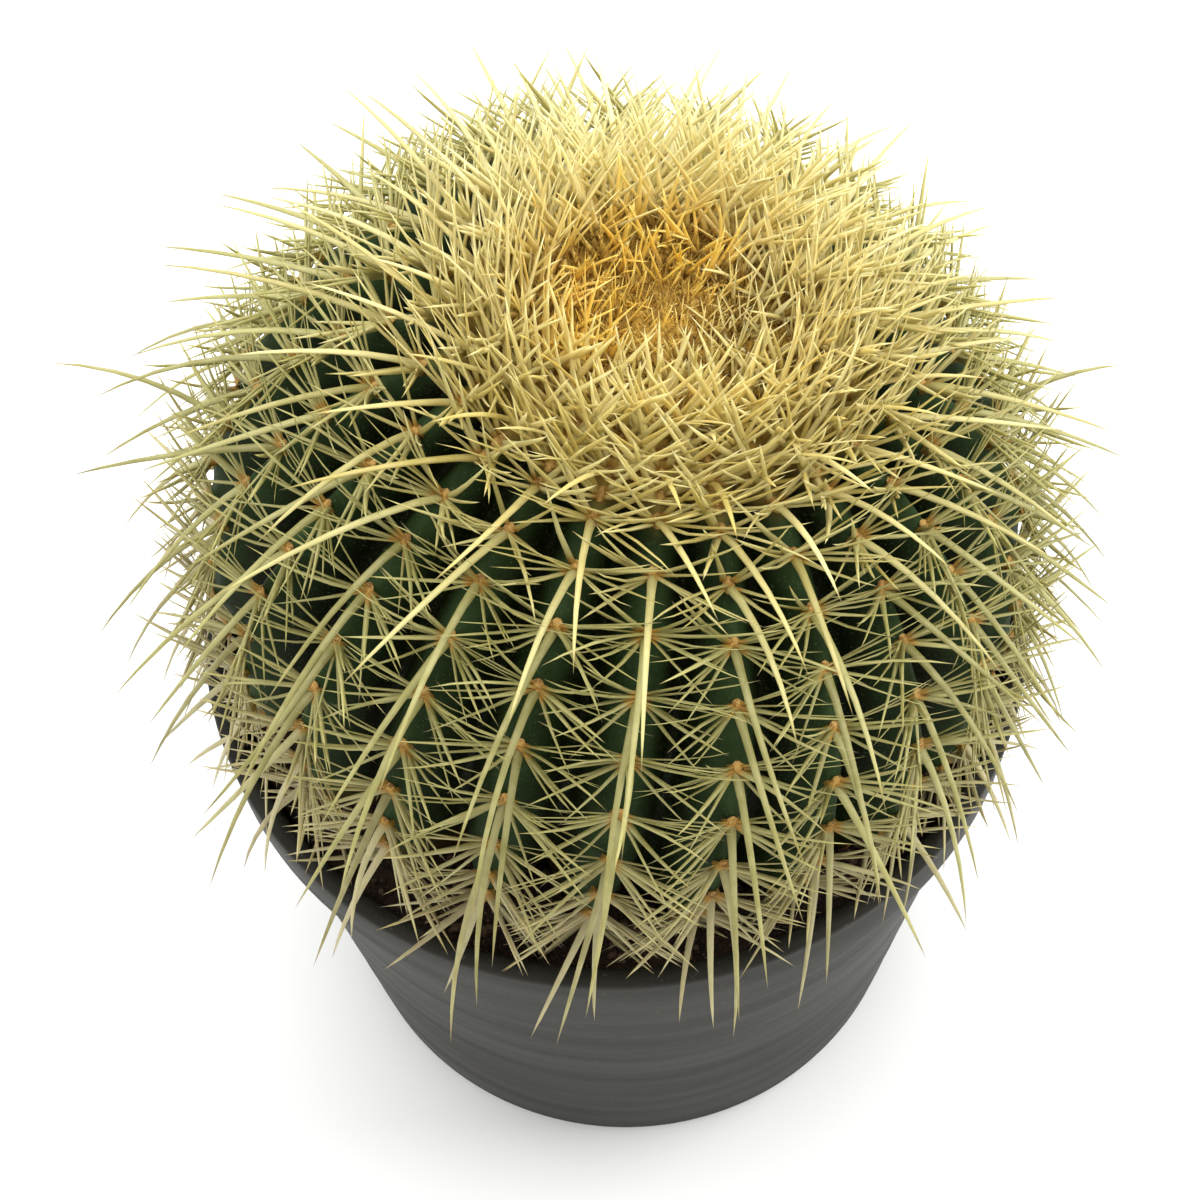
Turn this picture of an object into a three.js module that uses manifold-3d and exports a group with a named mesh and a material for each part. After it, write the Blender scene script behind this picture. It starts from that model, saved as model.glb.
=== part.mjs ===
// Potted round cactus: a ribbed golden barrel cactus in a ribbed plastic nursery pot.
// Millimetres, +Z up, origin at the centre of the pot's underside.
// The pot is a thin moulded shell, the soil fills it, and the cactus stands in the soil,
// leaning a little. Its spines grow from the areoles on the crests of its ribs.
import * as THREE from "three";
import { mergeVertices } from "three/addons/utils/BufferGeometryUtils.js";
import Module from "manifold-3d";

const wasm = await Module();
wasm.setup();

// Pot
const rimRadius = 110; // outside of the collar at the top
const potHeight = 164;
const baseRadius = 86;
const wallThickness = 2.2;
const lipWidth = 5.4; // flat top of the rolled rim, from the inner wall to the skirt
const collarHeight = 19;
const skirtThickness = 1.8;
const skirtDraft = 1.2; // the skirt is this much narrower at its lower edge
const lipRound = 1.2;
const wallRidges = 7; // faint steps moulded round the wall
const ridgeStep = 0.5;
const floorThickness = 3;
const footWidth = 9; // ring that the pot stands on
const bossRadius = 26; // flat centre of the underside, level with the foot
const channelRise = 4; // the underside rises by this between boss and foot
const drainHoles = 8;
const drainRadius = 5;
const drainSides = 10;
const potSides = 48;

// Soil
const soilBelowRim = 15;
const soilBump = 1.6;
const soilRings = 7;
const fitGap = 0.4; // air between pieces that touch

// Cactus body
const bodyRadius = 104; // over the crests of the ribs
const bodyHalfHeight = 85;
const bodyCentre = new THREE.Vector3(1.5, 4, 196);
const leanDegrees = 10;
const leanHeading = 14; // degrees from +X towards +Y
const ribCount = 24;
const ribDepth = 17;
const firstRibTurn = 0.18; // radians, so that one crest comes close to the front
const crownDip = 10;
const crownDipRadius = 30;
const pointsPerRib = 4;
const bodyRows = [-70, -50, -34, -16, 2, 19, 35, 49, 61, 71, 80]; // degrees of latitude
const socketGrow = 0.55; // the hollow in the soil is this much larger than the body

// Areoles and spines
const lowestAreole = -27; // degrees of latitude
const areoleSpacing = 15.2;
const crownSpacing = 10.5;
const highestAreole = 76;
const centralLength = 53;
const lateralLength = 28;
const centralRootRadius = 1.2;
const lateralRootRadius = 0.8;
const uneven = 0.11; // centrals are longest on one side of the plant, and shorter on the other
const longSide = -50; // degrees from the front, -Y, towards +X
const oldBelow = 12; // spines on areoles under this latitude are old and shorter
const highFrom = 35; // above this they stand up more and more
const youngFrom = 52; // and above this they are young and shorter
const oldShare = 0.66;
const youngShare = 0.55;
const centralDroop = [1.6, 0.35]; // way down the rib for each unit outward, on the flank and at the crown
const centralBend = [0.85, 0.6];
const lateralTilt = [0.75, 1.2]; // way outward for each unit across the rib
const lateralBend = 0.5;
const lateralTurn = [30, -20]; // degrees below and above level
const tipTowardsGround = 0.4; // spines bend to hang, part down the rib and part straight down
const jointedBelow = 0.35; // share of the way up from highFrom where centrals stop having a middle ring
const rootDepth = 2.6;
const spineSides = 3;
const rimClearance = 2.2;
const soilClearance = 3.5;

// Wool in the crown
const woolRadius = 15;
const woolHeight = 7;
const woolSides = 20;

const up = new THREE.Vector3(0, 0, 1);
const radians = THREE.MathUtils.degToRad;
const lerp = THREE.MathUtils.lerp;
const smoothstep = THREE.MathUtils.smoothstep;

// A small seeded random source, so that every build is the same.
function makeRandom(seed) {
  let state = seed;
  return () => {
    state = (state + 0x6d2b79f5) | 0;
    let t = Math.imul(state ^ (state >>> 15), 1 | state);
    t = (t + Math.imul(t ^ (t >>> 7), 61 | t)) ^ t;
    return ((t ^ (t >>> 14)) >>> 0) / 4294967296;
  };
}

function solidOf(geometry) {
  const bare = geometry.clone();
  bare.deleteAttribute("normal");
  bare.deleteAttribute("uv");
  const merged = mergeVertices(bare, 1e-4);
  return new wasm.Manifold(
    new wasm.Mesh({
      numProp: 3,
      vertProperties: Float32Array.from(merged.attributes.position.array),
      triVerts: Uint32Array.from(merged.index.array),
    }),
  );
}

function geometryOf(solid) {
  const mesh = solid.getMesh();
  const geometry = new THREE.BufferGeometry();
  geometry.setAttribute("position", new THREE.BufferAttribute(mesh.vertProperties, 3));
  geometry.setIndex(new THREE.BufferAttribute(mesh.triVerts, 1));
  return geometry;
}

function geometryFrom(points, triangles) {
  const geometry = new THREE.BufferGeometry();
  const flat = points.flatMap((p) => [p.x, p.y, p.z]);
  geometry.setAttribute("position", new THREE.Float32BufferAttribute(flat, 3));
  geometry.setIndex(triangles);
  return geometry;
}

// A solid of revolution about Z from [radius, height] points.
function turned(profile, sides) {
  const points = profile.map(([r, z]) => new THREE.Vector2(r, z));
  return new THREE.LatheGeometry(points, sides).rotateX(Math.PI / 2);
}

// Closed skin over rings of equal length, with a point at each end.
function skinned(rings, firstPole, lastPole) {
  const count = rings[0].length;
  const points = [firstPole, ...rings.flat(), lastPole];
  const last = points.length - 1;
  const triangles = [];
  for (let i = 0; i < count; i++) {
    const next = (i + 1) % count;
    triangles.push(0, 1 + next, 1 + i);
    for (let row = 0; row < rings.length - 1; row++) {
      const low = 1 + row * count;
      const high = low + count;
      triangles.push(low + i, low + next, high + next, low + i, high + next, high + i);
    }
    const top = 1 + (rings.length - 1) * count;
    triangles.push(top + i, top + next, last);
  }
  return geometryFrom(points, triangles);
}

// ---------- pot ----------

const innerRimRadius = rimRadius - lipWidth;

// Outer radius of the plain wall under the collar at a height.
function wallRadius(z) {
  return lerp(baseRadius, innerRimRadius + wallThickness, z / potHeight);
}

function potProfile() {
  const collarFoot = potHeight - collarHeight;
  const skirtFoot = rimRadius - skirtDraft;
  const channelOuter = baseRadius - footWidth;
  const underLip = potHeight - lipRound - skirtThickness;
  const profile = [
    [0, 0],
    [bossRadius, 0],
    [bossRadius + channelRise, channelRise],
    [channelOuter - channelRise, channelRise],
    [channelOuter, 0],
    [baseRadius - lipRound, 0],
    [baseRadius, lipRound],
  ];
  const pitch = (collarFoot - lipRound) / wallRidges;
  for (let i = 1; i <= wallRidges; i++) {
    const z = lipRound + i * pitch;
    profile.push([wallRadius(z) + ridgeStep / 2, z - pitch * 0.25]);
    profile.push([wallRadius(z) - ridgeStep / 4, z]);
  }
  profile.push(
    [wallRadius(underLip), underLip],
    [rimRadius - skirtThickness, underLip],
    [skirtFoot - skirtThickness, collarFoot],
    [skirtFoot, collarFoot],
    [rimRadius, potHeight - lipRound],
    [rimRadius - lipRound, potHeight],
    [innerRimRadius + lipRound, potHeight],
    [innerRimRadius, potHeight - lipRound],
    [baseRadius - wallThickness - floorThickness, channelRise + floorThickness],
    [0, channelRise + floorThickness],
  );
  return profile;
}

function makePot() {
  let pot = solidOf(turned(potProfile(), potSides));
  const ring = (bossRadius + baseRadius - footWidth) / 2;
  const length = 4 * (channelRise + floorThickness);
  for (let i = 0; i < drainHoles; i++) {
    const angle = ((i + 0.5) / drainHoles) * 2 * Math.PI;
    const hole = new THREE.CylinderGeometry(drainRadius, drainRadius, length, drainSides)
      .rotateX(Math.PI / 2)
      .translate(ring * Math.cos(angle), ring * Math.sin(angle), 0);
    pot = pot.subtract(solidOf(hole));
  }
  return geometryOf(pot);
}

// ---------- cactus body ----------

const lean = new THREE.Quaternion().setFromAxisAngle(
  new THREE.Vector3(-Math.sin(radians(leanHeading)), Math.cos(radians(leanHeading)), 0),
  radians(leanDegrees),
);

function place(local) {
  return local.applyQuaternion(lean).add(bodyCentre);
}

// Crest radius and height of the body at a latitude, in the plant's own upright frame.
function crestAt(latitude, grow = 0) {
  const r = (bodyRadius + grow) * Math.cos(latitude) ** 0.94;
  const dip = crownDip * Math.exp(-((r / crownDipRadius) ** 2)) * (latitude > 0 ? 1 : 0);
  return [r, (bodyHalfHeight + grow) * Math.sin(latitude) - dip];
}

// How deep the furrows are at a latitude: they fade under the soil and at the crown.
function furrowAt(latitude) {
  const degrees = THREE.MathUtils.radToDeg(latitude);
  return ribDepth * smoothstep(degrees, -66, -24) * (1 - smoothstep(degrees, 38, 84) * 0.93);
}

// 0 on a rib's crest, 1 in the furrow.
function ribShape(phase) {
  const across = 2 * Math.abs(phase - Math.round(phase));
  return across ** 1.15;
}

function bodyPoint(latitude, azimuth, grow = 0) {
  const [crest, z] = crestAt(latitude, grow);
  const phase = ((azimuth - firstRibTurn) * ribCount) / (2 * Math.PI);
  const r = crest - Math.min(furrowAt(latitude), crest * 0.3) * ribShape(phase);
  return place(new THREE.Vector3(r * Math.sin(azimuth), -r * Math.cos(azimuth), z));
}

function makeBody(grow = 0) {
  const around = ribCount * pointsPerRib;
  const rings = bodyRows.map((degrees) =>
    Array.from({ length: around }, (_, i) =>
      bodyPoint(radians(degrees), firstRibTurn + (i / around) * 2 * Math.PI, grow),
    ),
  );
  const root = bodyPoint(-Math.PI / 2, 0, grow);
  const crown = bodyPoint(Math.PI / 2, 0, grow);
  return skinned(rings, root, crown);
}

// ---------- areoles and spines ----------

// Latitudes of the areoles up one rib, closer together towards the crown.
function areoleLatitudes(start) {
  const found = [];
  const step = radians(0.25);
  let [r, z] = crestAt(start);
  let walked = 0;
  found.push(start);
  for (let latitude = start; latitude < radians(highestAreole); latitude += step) {
    const [nextR, nextZ] = crestAt(latitude + step);
    walked += Math.hypot(nextR - r, nextZ - z);
    [r, z] = [nextR, nextZ];
    const young = smoothstep(latitude, radians(30), radians(highestAreole));
    if (walked >= lerp(areoleSpacing, crownSpacing, young)) {
      found.push(latitude);
      walked = 0;
    }
  }
  return found;
}

// Place, outward normal, direction down the rib and direction across it.
function areoleFrame(latitude, azimuth) {
  const nudge = radians(0.5);
  const at = (angle) => {
    const [r, z] = crestAt(angle);
    return new THREE.Vector3(r * Math.sin(azimuth), -r * Math.cos(azimuth), z);
  };
  const down = at(latitude - nudge).sub(at(latitude + nudge)).normalize();
  const side = new THREE.Vector3(Math.cos(azimuth), Math.sin(azimuth), 0);
  const normal = new THREE.Vector3().crossVectors(down, side).normalize();
  const point = place(at(latitude));
  for (const direction of [down, side, normal]) direction.applyQuaternion(lean);
  return { point, normal, down, side, azimuth };
}

// Points along a spine that sets out in one direction and bends steadily towards another.
function spinePath(frame, direction, length, bendTo, bend, steps) {
  const path = [frame.point.clone()];
  const heading = direction.clone().normalize();
  for (let i = 0; i < steps; i++) {
    path.push(path.at(-1).clone().addScaledVector(heading, length / steps));
    heading.addScaledVector(bendTo, bend / steps).normalize();
  }
  return path;
}

// A spine may hang over the rim, but not touch the pot or the soil.
function isClear(path) {
  return path.every((p) => {
    const r = Math.hypot(p.x, p.y);
    const overRim = r > innerRimRadius - rimClearance && r < rimRadius + rimClearance;
    if (overRim) return p.z > potHeight + rimClearance;
    return r > rimRadius || p.z > potHeight - soilBelowRim + soilClearance;
  });
}

// Raises a spine that would touch the pot or the soil, then shortens it.
function clearPath(frame, direction, length, bendTo, bend) {
  const heading = direction.clone();
  for (let tries = 0; tries < 14; tries++) {
    const path = spinePath(frame, heading, length, bendTo, bend, 12);
    if (isClear(path)) return path;
    heading.addScaledVector(up, 0.22).normalize();
    if (tries > 4) length *= 0.86;
  }
  return null;
}

function spineSolid(frame, path, rootRadius, stations) {
  const last = path.length - 1;
  const picks = stations.map((share) => path[Math.round(share * last)]);
  const root = frame.point.clone().addScaledVector(frame.normal, -rootDepth);
  const centres = [root, ...picks.slice(1, -1)];
  const rings = centres.map((centre, i) => {
    const heading = (centres[i + 1] ?? path[last]).clone().sub(centre).normalize();
    const across = new THREE.Vector3().crossVectors(heading, frame.side).normalize();
    if (across.lengthSq() < 0.5) across.copy(frame.down);
    const over = new THREE.Vector3().crossVectors(heading, across);
    const radius = rootRadius * (1 - stations[i]) ** 0.55;
    return Array.from({ length: spineSides }, (_, k) => {
      const angle = (k / spineSides) * 2 * Math.PI;
      return centre
        .clone()
        .addScaledVector(across, radius * Math.cos(angle))
        .addScaledVector(over, radius * Math.sin(angle));
    });
  });
  return solidOf(spineGeometry(rings, path[last]));
}

// Three-sided rings closed by a flat root face and a sharp tip.
function spineGeometry(rings, tip) {
  const points = [...rings.flat(), tip];
  const triangles = [0, 2, 1];
  for (let row = 0; row < rings.length - 1; row++) {
    for (let i = 0; i < spineSides; i++) {
      const next = (i + 1) % spineSides;
      const low = row * spineSides;
      const high = low + spineSides;
      triangles.push(low + i, low + next, high + next, low + i, high + next, high + i);
    }
  }
  const top = (rings.length - 1) * spineSides;
  for (let i = 0; i < spineSides; i++) {
    triangles.push(top + i, top + ((i + 1) % spineSides), points.length - 1);
  }
  return geometryFrom(points, triangles);
}

// A long drooping central spine on each areole, and a lateral spine to one hand of it.
function areoleSpines(frame, latitude, hand, random) {
  const top = radians(highestAreole);
  const high = smoothstep(latitude, radians(highFrom), top);
  const young = smoothstep(latitude, radians(youngFrom), top);
  const old = 1 - smoothstep(latitude, radians(lowestAreole), radians(oldBelow));
  const solids = [];
  const { normal, down, side } = frame;
  const vary = (spread) => 1 + spread * (random() - 0.5);

  const hang = down.clone().lerp(new THREE.Vector3(0, 0, -1), tipTowardsGround);
  const droop = lerp(...centralDroop, high) * vary(0.6);
  const outward = normal.clone().addScaledVector(down, droop);
  outward.addScaledVector(side, 0.8 * (random() - 0.5));
  const around = frame.azimuth - radians(longSide);
  const reach = lerp(1, youngShare, young) * lerp(1, oldShare, old) * vary(0.25);
  const length = centralLength * reach * (1 - uneven * (1 - Math.cos(around)));
  const central = clearPath(frame, outward, length, hang, lerp(...centralBend, high));
  const stations = high < jointedBelow ? [0, 0.5, 1] : [0, 1];
  if (central) solids.push(spineSolid(frame, central, centralRootRadius, stations));

  const tilt = lerp(...lateralTilt, high) * vary(0.5);
  const turn = radians(lerp(...lateralTurn, random()));
  const sideways = side
    .clone()
    .multiplyScalar(hand * Math.cos(turn))
    .addScaledVector(down, Math.sin(turn))
    .addScaledVector(normal, tilt);
  const lateral = clearPath(frame, sideways, lateralLength * vary(0.3), hang, lateralBend);
  if (lateral) solids.push(spineSolid(frame, lateral, lateralRootRadius, [0, 1]));
  return solids;
}

function makeCactus() {
  const random = makeRandom(2024);
  let cactus = solidOf(makeBody());
  for (let rib = 0; rib < ribCount; rib++) {
    const azimuth = firstRibTurn + (rib / ribCount) * 2 * Math.PI;
    const start = radians(lowestAreole + (rib % 2) * 3 + 2 * (random() - 0.5));
    areoleLatitudes(start).forEach((latitude, row) => {
      const frame = areoleFrame(latitude, azimuth);
      const hand = (rib + row) % 2 ? 1 : -1;
      const spines = areoleSpines(frame, latitude, hand, random);
      for (const spine of spines) cactus = cactus.add(spine);
    });
  }
  return geometryOf(cactus);
}

// ---------- soil ----------

function makeSoil() {
  const random = makeRandom(77);
  const floor = channelRise + floorThickness + fitGap;
  const top = potHeight - soilBelowRim;
  const innerAt = (z) => {
    const share = (z - channelRise - floorThickness) / (potHeight - channelRise - floorThickness);
    return lerp(baseRadius - wallThickness - floorThickness, innerRimRadius, share) - fitGap;
  };
  const ring = (r, z, bump) =>
    Array.from({ length: potSides }, (_, i) => {
      const angle = (i / potSides) * 2 * Math.PI;
      const height = z + bump * (random() - 0.5) * 2;
      return new THREE.Vector3(r * Math.cos(angle), r * Math.sin(angle), height);
    });
  const rings = [ring(innerAt(floor), floor, 0), ring(innerAt(top) - 0.6, top - soilBump, 0)];
  for (let i = soilRings; i > 0; i--) {
    rings.push(ring(((innerAt(top) - 3) * i) / soilRings, top, soilBump));
  }
  const poles = [new THREE.Vector3(0, 0, floor), new THREE.Vector3(0, 0, top)];
  const filled = solidOf(skinned(rings, ...poles));
  return geometryOf(filled.subtract(solidOf(makeBody(socketGrow))));
}

// ---------- wool in the crown ----------

function makeWool() {
  const rings = [];
  const crownAxis = (r, lift) => (_, i) => {
    const angle = (i / woolSides) * 2 * Math.PI;
    const wave = 1 + 0.1 * Math.sin(3 * angle);
    return place(new THREE.Vector3(r * wave * Math.cos(angle), r * wave * Math.sin(angle), lift));
  };
  const bowl = (r) => {
    const latitude = Math.acos(Math.min(1, (r / bodyRadius) ** (1 / 0.94)));
    return crestAt(latitude)[1];
  };
  const seat = fitGap + 0.4;
  for (const share of [0.5, 1]) {
    const r = woolRadius * share;
    rings.push(Array.from({ length: woolSides }, crownAxis(r, bowl(r) + seat)));
  }
  for (const turn of [20, 45, 70]) {
    const r = woolRadius * Math.cos(radians(turn));
    const lift = bowl(woolRadius) + seat + woolHeight * 0.55 * Math.sin(radians(turn));
    rings.push(Array.from({ length: woolSides }, crownAxis(r, lift)));
  }
  const under = place(new THREE.Vector3(0, 0, bowl(0) + seat));
  const over = place(new THREE.Vector3(0, 0, bowl(woolRadius) + seat + woolHeight * 0.6));
  return skinned(rings, under, over);
}

function named(name, geometry, color, roughness) {
  const material = new THREE.MeshStandardMaterial({ color, roughness, metalness: 0, flatShading: true });
  const mesh = new THREE.Mesh(geometry, material);
  mesh.name = name;
  return mesh;
}

const potted = new THREE.Group();
potted.add(
  named("pot", makePot(), 0x4a4a4c, 0.6),
  named("soil", makeSoil(), 0x2a1c14, 0.95),
  named("cactus", makeCactus(), 0x9fa264, 0.55),
  named("crown_wool", makeWool(), 0xe2b64e, 0.9),
);

export default potted;
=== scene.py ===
# Potted round cactus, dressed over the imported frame. Metres, +Z up, the camera looks along +Y.
# Order: camera, light and floor, materials, pot, flesh, areoles, soil, spines, crown.
import math
import random

import bmesh
import bpy
from mathutils import Euler, Matrix, Quaternion, Vector, noise


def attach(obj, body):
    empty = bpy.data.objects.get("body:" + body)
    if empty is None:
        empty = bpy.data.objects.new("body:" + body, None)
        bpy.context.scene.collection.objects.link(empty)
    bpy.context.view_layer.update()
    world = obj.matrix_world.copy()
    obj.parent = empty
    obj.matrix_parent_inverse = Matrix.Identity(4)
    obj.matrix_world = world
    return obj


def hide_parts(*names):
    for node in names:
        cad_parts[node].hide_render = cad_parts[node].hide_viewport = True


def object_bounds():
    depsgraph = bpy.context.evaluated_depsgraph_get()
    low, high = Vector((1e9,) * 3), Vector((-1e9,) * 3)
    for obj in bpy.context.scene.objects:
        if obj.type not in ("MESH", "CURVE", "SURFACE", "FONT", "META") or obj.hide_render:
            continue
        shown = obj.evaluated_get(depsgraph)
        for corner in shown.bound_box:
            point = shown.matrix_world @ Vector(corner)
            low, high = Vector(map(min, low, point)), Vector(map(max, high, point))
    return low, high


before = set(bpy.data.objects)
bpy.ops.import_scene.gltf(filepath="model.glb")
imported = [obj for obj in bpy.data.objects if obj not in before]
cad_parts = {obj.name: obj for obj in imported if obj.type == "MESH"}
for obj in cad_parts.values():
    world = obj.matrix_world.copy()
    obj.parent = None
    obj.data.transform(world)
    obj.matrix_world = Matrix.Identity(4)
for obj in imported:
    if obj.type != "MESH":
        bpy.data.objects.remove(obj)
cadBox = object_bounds()
print("frame loaded,", len(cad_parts), "nodes")

mm = 0.001
fullTurn = 2 * math.pi
skyward = Vector((0, 0, 1))


def lerp(low, high, share):
    return low + (high - low) * share


def smoothstep(value, low, high):
    share = min(max((value - low) / (high - low), 0), 1)
    return share * share * (3 - 2 * share)


def bell(value, width):
    return math.exp(-((value / width) ** 2))


# A colour code such as 0x23221D as Blender's linear colour.
def tint(code):
    parts = [(code >> shift & 255) / 255 for shift in (16, 8, 0)]
    linear = [p / 12.92 if p <= 0.04045 else ((p + 0.055) / 1.055) ** 2.4 for p in parts]
    return (*linear, 1)


# ---- camera, light and floor

camera = {
    "place": (-0.0042, -0.3505, 0.7257),
    "pitch": 1.011,  # radians below the horizon
    "yaw": 0.001,
    "roll": -0.055,
    "focal": 2478,  # pixels
    "frame": 1200,  # width of the picture in pixels
    "sensor": 36,  # millimetres
}


def setCamera():
    data = bpy.data.cameras.new("camera")
    data.sensor_width = camera["sensor"]
    data.lens = camera["focal"] / camera["frame"] * data.sensor_width
    seat = bpy.data.objects.new("camera", data)
    bpy.context.collection.objects.link(seat)
    turn = Euler((math.pi / 2 - camera["pitch"], 0, -camera["yaw"])).to_matrix()
    turn = turn @ Matrix.Rotation(camera["roll"], 3, "Z")
    seat.matrix_world = Matrix.Translation(camera["place"]) @ turn.to_4x4()
    bpy.context.scene.camera = seat
    print("camera set")


studio = {
    "skyStrength": 0.86,
    "aim": (0, 0, 0.2),  # what the softboxes point at
    "softboxes": [  # place, size, watts
        ((-0.3, 0.6, 1.7), 2.0, 29),
        ((-0.9, -0.4, 1.2), 0.9, 2),
        ((1.1, 0.1, 1.2), 0.9, 15),
    ],
    "floorSize": 12,
    "floorColour": 0xF7F7F5,
    "floorRoughness": 0.9,
}


def setLight():
    scene = bpy.context.scene
    scene.view_settings.view_transform = "Standard"
    world = bpy.data.worlds.new("studio")
    world.use_nodes = True
    sky = world.node_tree.nodes["Background"]
    sky.inputs["Color"].default_value = (1, 1, 1, 1)
    sky.inputs["Strength"].default_value = studio["skyStrength"]
    scene.world = world
    for number, (spot, size, watts) in enumerate(studio["softboxes"]):
        light = bpy.data.lights.new(f"softbox{number}", "AREA")
        light.size = size
        light.energy = watts
        box = bpy.data.objects.new(f"softbox{number}", light)
        box.location = spot
        box.rotation_euler = (Vector(studio["aim"]) - Vector(spot)).to_track_quat("-Z", "Y").to_euler()
        scene.collection.objects.link(box)
    print("light set,", len(studio["softboxes"]), "softboxes")


def makeFloor():
    bm = bmesh.new()
    bmesh.ops.create_grid(bm, x_segments=1, y_segments=1, size=studio["floorSize"] / 2)
    floor = meshObject("floor", bm)
    paint = bpy.data.materials.new("floor")
    paint.use_nodes = True
    surface = paint.node_tree.nodes["Principled BSDF"]
    surface.inputs["Base Color"].default_value = tint(studio["floorColour"])
    surface.inputs["Roughness"].default_value = studio["floorRoughness"]
    floor.data.materials.append(paint)


# ---- helpers for meshes

weld = 0.01 * mm  # vertices closer together than this become one


def meshObject(name, bm, smooth=True):
    mesh = bpy.data.meshes.new(name)
    bm.to_mesh(mesh)
    bm.free()
    if smooth:
        mesh.shade_smooth()
    else:
        mesh.shade_flat()
    piece = bpy.data.objects.new(name, mesh)
    bpy.context.scene.collection.objects.link(piece)
    return piece


def finishPiece(piece, material, slot, *nodes):
    piece.data.materials.clear()
    piece.data.materials.append(material)
    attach(piece, "root")
    if nodes:
        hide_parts(*nodes)
    print("made", piece.name, len(piece.data.polygons), "faces")


# A closed solid of revolution about Z from (radius, height) points that start and end on the axis.
def turned(profile, steps):
    bm = bmesh.new()
    verts = [bm.verts.new((r, 0, z)) for r, z in profile]
    edges = [bm.edges.new(pair) for pair in zip(verts, verts[1:])]
    bmesh.ops.spin(bm, geom=verts + edges, cent=(0, 0, 0), axis=(0, 0, 1), angle=fullTurn,
                   steps=steps, use_merge=True)
    bmesh.ops.remove_doubles(bm, verts=bm.verts, dist=weld)
    bmesh.ops.recalc_face_normals(bm, faces=bm.faces)
    return bm


# The same outline with each corner that has a rounding turned into a short arc. The arc takes at most
# the given share of either side, so that two never meet.
def rounded(corners, arcSteps=4, most=0.49):
    outline = []
    for index, (r, z, rounding) in enumerate(corners):
        here = Vector((r, z))
        if not rounding:
            outline.append((r, z))
            continue
        back = Vector(corners[index - 1][:2]) - here
        ahead = Vector(corners[index + 1][:2]) - here
        start = here + back.normalized() * min(rounding, back.length * most)
        end = here + ahead.normalized() * min(rounding, ahead.length * most)
        for step in range(arcSteps + 1):
            share = step / arcSteps
            point = start.lerp(here, share).lerp(here.lerp(end, share), share)
            outline.append((point.x, point.y))
    return outline


def cutAway(piece, tool):
    cut = piece.modifiers.new("cut", "BOOLEAN")
    cut.object = tool
    cut.operation = "DIFFERENCE"
    cut.solver = "EXACT"
    graph = bpy.context.evaluated_depsgraph_get()
    mesh = bpy.data.meshes.new_from_object(piece.evaluated_get(graph), depsgraph=graph)
    piece.modifiers.clear()
    piece.data = mesh
    bpy.data.objects.remove(tool)


def smoothByAngle(piece, degrees):
    piece.data.shade_smooth()
    bm = bmesh.new()
    bm.from_mesh(piece.data)
    for edge in bm.edges:
        edge.smooth = not edge.is_manifold or edge.calc_face_angle(0) < math.radians(degrees)
    bm.to_mesh(piece.data)
    bm.free()


def makeTemplate(bm):
    template = bpy.data.meshes.new("template")
    bm.to_mesh(template)
    bm.free()
    return template


# Many copies of a template in one mesh, the vertices of each copy, and float attributes for them.
def repeated(template, count, *attributes):
    bm = bmesh.new()
    for _ in range(count):
        bm.from_mesh(template)
    marks = [bm.verts.layers.float.new(name) for name in attributes]
    bm.verts.ensure_lookup_table()
    size = len(template.vertices)
    copies = [bm.verts[first:first + size] for first in range(0, size * count, size)]
    bpy.data.meshes.remove(template)
    return bm, copies, marks


# ---- materials


def wire(tree, kind, inputs, **settings):
    made = tree.nodes.new(kind)
    for name, value in settings.items():
        setattr(made, name, value)
    for name, value in inputs.items():
        if isinstance(value, bpy.types.NodeSocket):
            tree.links.new(value, made.inputs[name])
        else:
            made.inputs[name].default_value = value
    return made


def attribute(tree, name):
    return wire(tree, "ShaderNodeAttribute", {}, attribute_name=name).outputs["Fac"]


def ranged(tree, value, low, high, newLow=0.0, newHigh=1.0):
    spread = {"Value": value, "From Min": low, "From Max": high, "To Min": newLow, "To Max": newHigh}
    return wire(tree, "ShaderNodeMapRange", spread, interpolation_type="SMOOTHSTEP").outputs[0]


# Mixes two colours, each a colour code or another node's output.
def blend(tree, factor, low, high):
    mix = wire(tree, "ShaderNodeMix", {}, data_type="RGBA")
    tree.links.new(factor, mix.inputs[0])
    for socket, colour in ((6, low), (7, high)):
        if isinstance(colour, bpy.types.NodeSocket):
            tree.links.new(colour, mix.inputs[socket])
        else:
            mix.inputs[socket].default_value = tint(colour)
    return mix.outputs[2]


# Lays a colour over another one where a mask goes through a range, as far as the range's end says.
def layer(tree, under, mask, maskRange, colour):
    return blend(tree, ranged(tree, mask, *maskRange), under, colour)


# Patches and fine grain over a surface, used by every finish here.
def makeMottle():
    group = bpy.data.node_groups.new("mottle", "ShaderNodeTree")
    for name, value in (("Patch scale", 40.0), ("Grain scale", 900.0), ("Edge", 0.1)):
        socket = group.interface.new_socket(name=name, in_out="INPUT", socket_type="NodeSocketFloat")
        socket.default_value = value
    for name in ("Patches", "Grain"):
        group.interface.new_socket(name=name, in_out="OUTPUT", socket_type="NodeSocketFloat")
    given = group.nodes.new("NodeGroupInput")
    spot = wire(group, "ShaderNodeTexCoord", {}).outputs["Object"]
    patches = wire(group, "ShaderNodeTexNoise", {"Vector": spot, "Scale": given.outputs["Patch scale"],
                                                 "Detail": 4.0, "Roughness": 0.6})
    grain = wire(group, "ShaderNodeTexNoise", {"Vector": spot, "Scale": given.outputs["Grain scale"],
                                               "Detail": 2.0, "Roughness": 0.5})
    low = wire(group, "ShaderNodeMath", {0: 0.5, 1: given.outputs["Edge"]}, operation="SUBTRACT")
    high = wire(group, "ShaderNodeMath", {0: 0.5, 1: given.outputs["Edge"]}, operation="ADD")
    mask = ranged(group, patches.outputs["Fac"], low.outputs[0], high.outputs[0])
    wire(group, "NodeGroupOutput", {"Patches": mask, "Grain": grain.outputs["Fac"]})
    return group


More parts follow.
